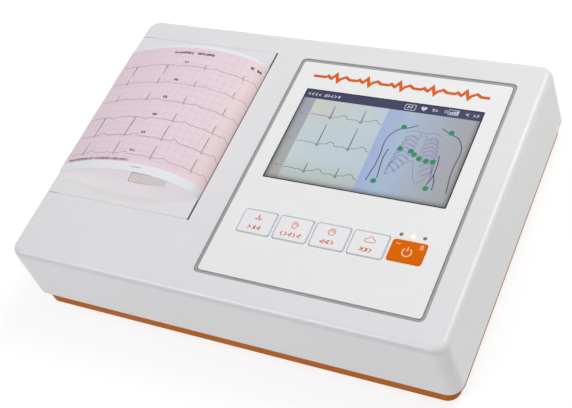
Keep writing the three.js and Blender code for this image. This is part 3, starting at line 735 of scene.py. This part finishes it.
# ------------------------------------------------------------------ paper
DATUM = 2.2  # mm: height of the case's drawing datum above the table
PLATEN = (-40.3, 36.0 + DATUM)  # mm: axis of the roller in x and z
WRAP_RADIUS = 7.0  # mm: centre line of the sheet round the roller
WRAP_TURN = 1.7  # radians that the sheet lies on the roller
WRAP_STEPS = 16
ARCH_STEPS = 40
ARCH_TOP_AT = -71  # mm along x
ARCH_FOOT = 48.0 + DATUM  # mm: height at which the sheet leaves the slot
ARCH_RISE = 16.2  # mm
BACK_DROP = 0.20  # share of its rise that the arch loses from the front edge to the back edge
PAPER_FRONT, PAPER_BACK = -35.0, 65.0
PRINT_FRONT, PRINT_BACK = -29.0, 62.6
SHEET = 0.2  # mm thick
UV_UNIT = 100  # mm of paper for one unit of UV


def strip_line():
    """Centre line of the strip in x and z, from under the platen over the arch to its end."""
    points = []
    for i in range(WRAP_STEPS):
        turn = -WRAP_TURN + WRAP_TURN * i / WRAP_STEPS
        points.append((PLATEN[0] + WRAP_RADIUS * math.cos(turn), PLATEN[1] + WRAP_RADIUS * math.sin(turn)))
    reach = PLATEN[0] + WRAP_RADIUS - ARCH_TOP_AT
    for i in range(ARCH_STEPS):
        turn = math.pi / 2 * i / ARCH_STEPS
        points.append((ARCH_TOP_AT + reach * math.cos(turn), ARCH_FOOT + ARCH_RISE * math.sin(turn)))
    top = ARCH_FOOT + ARCH_RISE
    bend = ((ARCH_TOP_AT, top), (ARCH_TOP_AT - 22, top), (-113, top - 7), (-131.2, ARCH_FOOT + 0.3))
    for i in range(ARCH_STEPS + 1):
        t = i / ARCH_STEPS
        weights = ((1 - t) ** 3, 3 * t * (1 - t) ** 2, 3 * t * t * (1 - t), t ** 3)
        points.append(tuple(sum(w * p[k] for w, p in zip(weights, bend)) for k in (0, 1)))
    return [Vector(p) for p in points]


STRIP = strip_line()
STRIP_RUN = [0.0]
for before, after in zip(STRIP, STRIP[1:]):
    STRIP_RUN.append(STRIP_RUN[-1] + (after - before).length)
SLOT_RUN = STRIP_RUN[WRAP_STEPS]  # mm of paper before it leaves the slot


def on_strip(run, y, height):
    """Place on the strip's printed face, from the slot along the paper, all in mm."""
    run = min(max(run + SLOT_RUN, 0.0), STRIP_RUN[-1])
    i = 1
    while i < len(STRIP_RUN) - 1 and STRIP_RUN[i] < run:
        i += 1
    share = (run - STRIP_RUN[i - 1]) / (STRIP_RUN[i] - STRIP_RUN[i - 1])
    point = STRIP[i - 1].lerp(STRIP[i], share)
    along = (STRIP[min(i + 1, len(STRIP) - 1)] - STRIP[max(i - 2, 0)]).normalized()
    free = min(max((run - SLOT_RUN - 4) / 30, 0), 1)
    ripple = 0.10 * math.sin(y * 0.19 + run * 0.05) * free
    out = Vector((along.y, -along.x)) * (SHEET / 2 + height + ripple)
    z = point.y + out.y
    share_back = (y - PAPER_FRONT) / (PAPER_BACK - PAPER_FRONT)
    z -= max(z - ARCH_FOOT - 0.6, 0) * BACK_DROP * share_back
    return (point.x + out.x) * MM, y * MM, z * MM


def paper_material(name="chart_paper", grid=True):
    shader = Shader(name, srgb(236, 228, 231), 0.72, Specular_IOR_Level=0.3)
    if grid:
        uv = shader.node("ShaderNodeSeparateXYZ")
        shader.link(shader.node("ShaderNodeTexCoord").outputs["UV"], uv.inputs[0])

        def lines(pitch, width):
            half = width / pitch / 2
            marks = []
            for axis in (uv.outputs[0], uv.outputs[1]):
                cell = shader.math("FRACT", shader.math("MULTIPLY", axis, UV_UNIT / pitch))
                away = shader.math("ABSOLUTE", shader.math("SUBTRACT", cell, 0.5))
                marks.append(shader.math("GREATER_THAN", away, 0.5 - half))
            return shader.math("MAXIMUM", *marks)

        tint = shader.mix(lines(1.0, 0.16), srgb(223, 209, 213), srgb(217, 187, 197))
        tint = shader.mix(lines(5.0, 0.26), tint, srgb(209, 171, 184))
        # Lighter towards the slot, where the arch's side faces the lamps: painted light.
        slot_side_light = shader.spread(uv.outputs[0], (SLOT_RUN + 18) / UV_UNIT, SLOT_RUN / UV_UNIT, 0, 0.5)
        tint = shader.mix(slot_side_light, tint, srgb(250, 222, 214))
        front = shader.math("GREATER_THAN", uv.outputs[1], (PRINT_FRONT - PAPER_FRONT) / UV_UNIT)
        back = shader.math("LESS_THAN", uv.outputs[1], (PRINT_BACK - PAPER_FRONT) / UV_UNIT)
        color = shader.mix(shader.math("MULTIPLY", front, back), srgb(222, 224, 226), tint)
        cloudy = shader.spread(shader.noise(30 * MM), 0.3, 0.7, 0.0, 0.05)
        shader.paint(shader.mix(cloudy, color, srgb(205, 190, 200)))
    else:
        shader.mottle(20 * MM, 0.03)
    return shader.grain(0.35 * MM, 0.012 * MM, 3).material


def paper_strip():
    """The sheet itself: two skins and its edges, with the length along the paper and y as UV."""
    bm = bmesh.new()
    uv = bm.loops.layers.uv.new("chart")
    columns = 20
    rows = []
    for run in STRIP_RUN:
        row = []
        for side in (0, -SHEET):
            for j in range(columns + 1):
                y = PAPER_FRONT + (PAPER_BACK - PAPER_FRONT) * j / columns
                row.append(bm.verts.new(on_strip(run - SLOT_RUN, y, side)))
        rows.append(row)
    width = columns + 1

    def face(corners):
        made = bm.faces.new([rows[i][k * width + j] for i, k, j in corners])
        for loop, (i, k, j) in zip(made.loops, corners):
            loop[uv].uv = (STRIP_RUN[i] / UV_UNIT, j / columns)

    for i in range(len(rows) - 1):
        for j in range(columns):
            face([(i, 0, j), (i, 0, j + 1), (i + 1, 0, j + 1), (i + 1, 0, j)])
            face([(i, 1, j), (i + 1, 1, j), (i + 1, 1, j + 1), (i, 1, j + 1)])
        face([(i, 0, 0), (i + 1, 0, 0), (i + 1, 1, 0), (i, 1, 0)])
        face([(i, 0, columns), (i, 1, columns), (i + 1, 1, columns), (i + 1, 0, columns)])
    last = len(rows) - 1
    for j in range(columns):
        face([(0, 0, j), (0, 1, j), (0, 1, j + 1), (0, 0, j + 1)])
        face([(last, 0, j), (last, 0, j + 1), (last, 1, j + 1), (last, 1, j)])
    mesh = mesh_from("paper_strip_sheet", bm)
    sheet = add_object("paper_strip_sheet", mesh, paper_material(), "door", ["paper_strip"])
    sheet.visible_shadow = False  # thin paper lets most of the light through to the door below it


def finer(line, step=1.5):
    """The same line with points no further apart than the step."""
    dense = [line[0]]
    for (x0, y0), (x1, y1) in zip(line, line[1:]):
        parts = max(int(math.hypot(x1 - x0, y1 - y0) / step), 1)
        dense += [(x0 + (x1 - x0) * i / parts, y0 + (y1 - y0) * i / parts) for i in range(1, parts + 1)]
    return dense


def chart_beat(run, y, tall, deep, wave):
    """One printed beat: time runs towards the slot, so the run along the paper falls."""
    shape = [
        (-6.5, 0), (-5.2, 0.7), (-4.2, 0), (-0.9, 0), (-0.4, -0.2 * deep), (0, tall), (0.4, -deep), (0.9, 0),
        (5.0, 0.2 * wave), (7.4, wave), (9.0, 0.7 * wave), (10.6, 0),
    ]
    return [(run - u, y + v) for u, v in shape]


def paper_print():
    """Traces, headings and footer; the row numbers are base line, spike, dip and wave in mm."""
    rows = (
        (47.6, 2.6, 10.5, 0.9), (33.0, 4.0, 1.2, 1.0), (18.8, 5.6, 0.8, 1.2),
        (4.9, 6.2, 1.0, 1.5), (-9.4, 11.5, 1.4, 2.0), (-23.2, 9.0, 1.6, 1.6),
    )
    strokes, leads = [], []
    for number, (y, tall, deep, wave) in enumerate(rows):
        line = [(103.2, y)]
        for run in (91.0, 64.6, 38.0, 12.4):
            flip = number in (0, 3) and run > 60
            high, low = (0.8, max(tall, 8.0)) if flip else (tall, min(deep, 1.6))
            line += chart_beat(run, y, high, low, -wave if flip else wave)
        strokes.append((finer(line + [(0.2, y)]), 0.24, False))
        leads += squiggles(50.6, y + 2.0, 3.4, 1.8, 40 + number, 0.3)
    heads = squiggles(51.0, 57.2, 14.4, 2.0, 31, 0.3) + squiggles(36.4, 57.2, 12.0, 2.0, 32, 0.3)
    heads += squiggles(3.6, 56.2, 3.8, 2.2, 33, 0.3) + squiggles(8.8, 56.2, 3.6, 2.2, 34, 0.3)
    foot = squiggles(51.5, -28.6, 50.5, 2.1, 35)
    small = squiggles(40.2, -32.2, 6.2, 1.0, 36)
    prints = (
        ("chart_traces", ink("chart_ink", srgb(122, 106, 120)), strokes),
        ("chart_headings", ink("chart_black", srgb(70, 54, 66)), leads + heads),
        ("chart_footer", ink("chart_plum", srgb(84, 40, 58)), foot),
        ("chart_margin_mark", ink("chart_grey", srgb(130, 128, 136)), small),
    )
    for name, look, lines in prints:
        piece = drawing(name, look, "door", on_strip, lines, height=0.05)
        piece.visible_shadow = False  # for the same reason as the sheet's


def paper_stack():
    """Fan-folded chart paper: every layer a little out of line with the next."""
    low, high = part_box("paper_stack")
    draw = random.Random(7)
    layers = 24
    rings = []
    for i in range(layers):
        back = draw.uniform(0.0, 0.35) * MM
        for edge in (0.12, 0.88):
            z = low.z + (high.z - low.z) * (i + edge) / layers
            fold = 0.5 * MM if edge > 0.5 and i % 2 else 0.15 * MM
            rings.append([
                (low.x + back + fold, low.y + back, z), (high.x - back, low.y + back, z),
                (high.x - back, high.y - back, z), (low.x + back + fold, high.y - back, z),
            ])
    mesh = loft("paper_stack_folds", rings, smooth_angle=20)
    look = paper_material("chart_paper_plain", grid=False)
    add_object("paper_stack_folds", mesh, look, "case", ["paper_stack"])
    skin("paper_feed", 0.0, look)


paper_strip()
paper_print()
paper_stack()

# ------------------------------------------------------------------ door window, sockets and underside
def door_details():
    skin("door_window", 0.15)
    low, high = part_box("door_window")
    ribs = []
    for i in range(5):
        x = low.x + (high.x - low.x) * (i + 1) / 6
        ribs.append(([(x, low.y + 1.2 * MM), (x, high.y - 1.2 * MM)], 0.5 * MM, False))
    place = flat(high.z - 2 * SINK)
    look = MATERIALS["smoked_plastic"]
    drawing("door_window_ribs", look, "door", place, ribs, height=0.12 * MM)


def add_bar(bm, x0, x1, y0, y1, z0, z1):
    """A bar between two places on each axis, in mm."""
    outline = [(x * MM, y * MM) for x, y in rectangle(x0, x1, y0, y1)]
    add_patch(bm, outline, (z1 - z0) * MM, flat(z0 * MM))


def door_seams():
    """Seals in the gaps round the paper door: white along its short sides; by the paper slot, black bars that
    are a painted shadow in the gap.
    """
    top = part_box("printer_door")[1].z / MM
    edge = -32.7  # mm along x: side of the opening where the paper comes out
    front, back = -48.9, 77.9  # mm along y: ends of the opening
    white = bmesh.new()
    add_bar(white, -124, edge - 1.5, front + 0.02, front + 0.30, top - 2.2, top - 0.07)
    add_bar(white, -124, edge - 1.5, back - 0.30, back - 0.02, top - 2.2, top - 0.07)
    look = MATERIALS["case_white"]
    add_object("door_seals", mesh_from("door_seals", white), look, "case")
    # Black bars in the gap by the slot: painted shadow.
    black = bmesh.new()
    add_bar(black, edge - 0.45, edge - 0.02, front + 0.03, back - 0.03, top - 2.0, top - 0.03)
    add_bar(black, edge - 1.05, edge - 0.45, front + 0.03, PAPER_FRONT - 0.3, top - 2.0, top - 0.6)
    add_bar(black, edge - 1.05, edge - 0.45, PAPER_BACK + 0.3, back - 0.03, top - 2.0, top - 0.6)
    dark = MATERIALS["black_plastic"]
    add_object("slot_painted_shadow", mesh_from("slot_painted_shadow", black), dark, "case")


BACK_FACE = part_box("patient_connector")[1].y


def rear_place(x, z, out):
    """Places drawing coordinates on the sockets' rear faces."""
    return x, BACK_FACE + out, z


def socket_details():
    low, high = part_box("patient_connector")
    middle = (low + high) / 2
    holes = []
    for row, count in ((1.4, 8), (-1.4, 7)):
        for i in range(count):
            x = middle.x / MM + (i - (count - 1) / 2) * 2.77
            holes.append(in_metres(circle(x, middle.z / MM + row, 0.55, 12)))
    contact = brushed("contact_gold", (0.70, 0.50, 0.18, 1), 0.3)
    drawing("patient_contacts", contact, "case", rear_place, patches=holes, height=0.05 * MM)
    posts = []
    for side in (-1, 1):
        posts.append(in_metres(circle(middle.x / MM + side * 17.3, middle.z / MM, 1.5, 6)))
    drawing("patient_posts", MATERIALS["steel"], "case", rear_place, patches=posts, height=0.9 * MM)
    low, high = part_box("usb_socket")
    middle = (low + high) / 2
    tongue = rectangle(middle.x - 5.2 * MM, middle.x + 5.2 * MM, middle.z - 0.1 * MM, middle.z + 1.7 * MM)
    white = plain("usb_tongue", (0.75, 0.75, 0.76, 1), 0.4)

    def inside(x, z, out):
        return rear_place(x, z, out - 9 * MM)

    drawing("usb_tongue", white, "case", inside, patches=[tongue], height=8 * MM)
    strips = []
    for i in range(4):
        x = middle.x + (i - 1.5) * 2.4 * MM
        strips.append(([(x, BACK_FACE - 8.4 * MM), (x, BACK_FACE - 1.4 * MM)], 1.0 * MM, False))

    def under(x, y, h):
        return x, y, middle.z - 0.1 * MM - h

    drawing("usb_contacts", contact, "case", under, strips, height=0.08 * MM)


def base_bead():
    """A small bead along the foot of the tray's right side, where it stands a little proud of the wall."""
    low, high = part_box("lower_case")
    wall, foot = high.x / MM, low.z / MM
    rings = []
    for y, out in ((-86.5, 0.0), (-84, 0.8), (84, 0.8), (87.5, 0.0)):
        rings.append([
            ((wall - 0.4) * MM, y * MM, (foot + 0.05) * MM), ((wall + out) * MM, y * MM, (foot + 0.05) * MM),
            ((wall + out) * MM, y * MM, (foot + 1.3) * MM), ((wall - 0.4) * MM, y * MM, (foot + 2.1) * MM),
        ])
    add_object("base_bead", loft("base_bead", rings), MATERIALS["base_orange"], "case")


def underside():
    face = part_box("battery_cover")[0].z + 2 * SINK

    def below(x, y, h):
        return x * MM, y * MM, face - h * MM

    # Black patches stand for the speaker's slots; the face is not cut, so the dark inside them is painted
    # shade.
    slots = [round_rectangle(x - 0.8, x + 0.8, -73, -55, 0.7, 3) for x in range(84, 105, 4)]
    black = MATERIALS["black_plastic"]
    drawing("speaker_slots", black, "case", below, patches=slots, height=0.06)
    plate = plain("rating_plate", (0.72, 0.73, 0.74, 1), 0.3, tone=0.02)
    outline = round_rectangle(-95, -35, 0, 36, 2)
    drawing("rating_plate", plate, "case", below, patches=[outline], height=0.1)
    marks = []
    for row in range(6):
        marks += block_marks(-91, 30 - row * 5, 34 - 3 * (row % 3), 1.6, 60 + row)
    print_ink = ink("plate_ink", (0.05, 0.05, 0.055, 1))
    drawing("rating_plate_marks", print_ink, "case", below, patches=marks, height=0.14)
    ridges = [([(x, -64), (x, -68)], 0.6, False) for x in range(40, 50, 2)]
    orange = MATERIALS["base_orange"]
    drawing("battery_cover_ridges", orange, "case", below, ridges, height=0.3)


door_details()
door_seams()
socket_details()
base_bead()
underside()

# ------------------------------------------------------------------ stage and light
def make_stage():
    bm = bmesh.new()
    bmesh.ops.create_grid(bm, x_segments=1, y_segments=1, size=6.0)
    mesh = bpy.data.meshes.new("floor")
    bm.to_mesh(mesh)
    bm.free()
    floor = bpy.data.objects.new("floor", mesh)
    bpy.context.scene.collection.objects.link(floor)
    floor_look = Shader("floor_pale", (0.24, 0.24, 0.242, 1), 0.9, Emission_Strength=0.77)
    floor_look.set(**{"Emission Color": (1, 1, 1, 1)})
    mesh.materials.append(floor_look.mottle(0.6, 0.004).material)


def area_light(name, place, aim, size, power, color=(1, 1, 1)):
    data = bpy.data.lights.new(name, "AREA")
    data.shape = "DISK"
    data.size = size
    data.energy = power
    data.color = color
    lamp = bpy.data.objects.new(name, data)
    turn = (Vector(aim) - Vector(place)).to_track_quat("-Z", "Y").to_matrix().to_4x4()
    lamp.matrix_world = Matrix.Translation(place) @ turn
    bpy.context.scene.collection.objects.link(lamp)
    return lamp


def make_light():
    world = bpy.data.worlds.new("studio")
    world.use_nodes = True
    background = world.node_tree.nodes["Background"]
    background.inputs["Color"].default_value = (0.99, 0.99, 1.0, 1)
    background.inputs["Strength"].default_value = 0.42
    bpy.context.scene.world = world
    area_light("key", (0.34, 0.58, 0.90), (0.02, 0.02, 0.03), 0.6, 7.2)
    area_light("front", (-0.55, -0.80, 1.20), (-0.05, 0, 0.04), 0.9, 7.0, (0.90, 0.88, 1.0))
    gloss = area_light("gloss", (-0.60, -0.67, 1.03), (0, -0.05, 0.04), 0.6, 5.5, (0.92, 0.96, 1.0))
    gloss.visible_diffuse = False  # only draws the bright line along the rounded front edge
    bpy.context.scene.view_settings.view_transform = "Standard"


make_stage()
make_light()
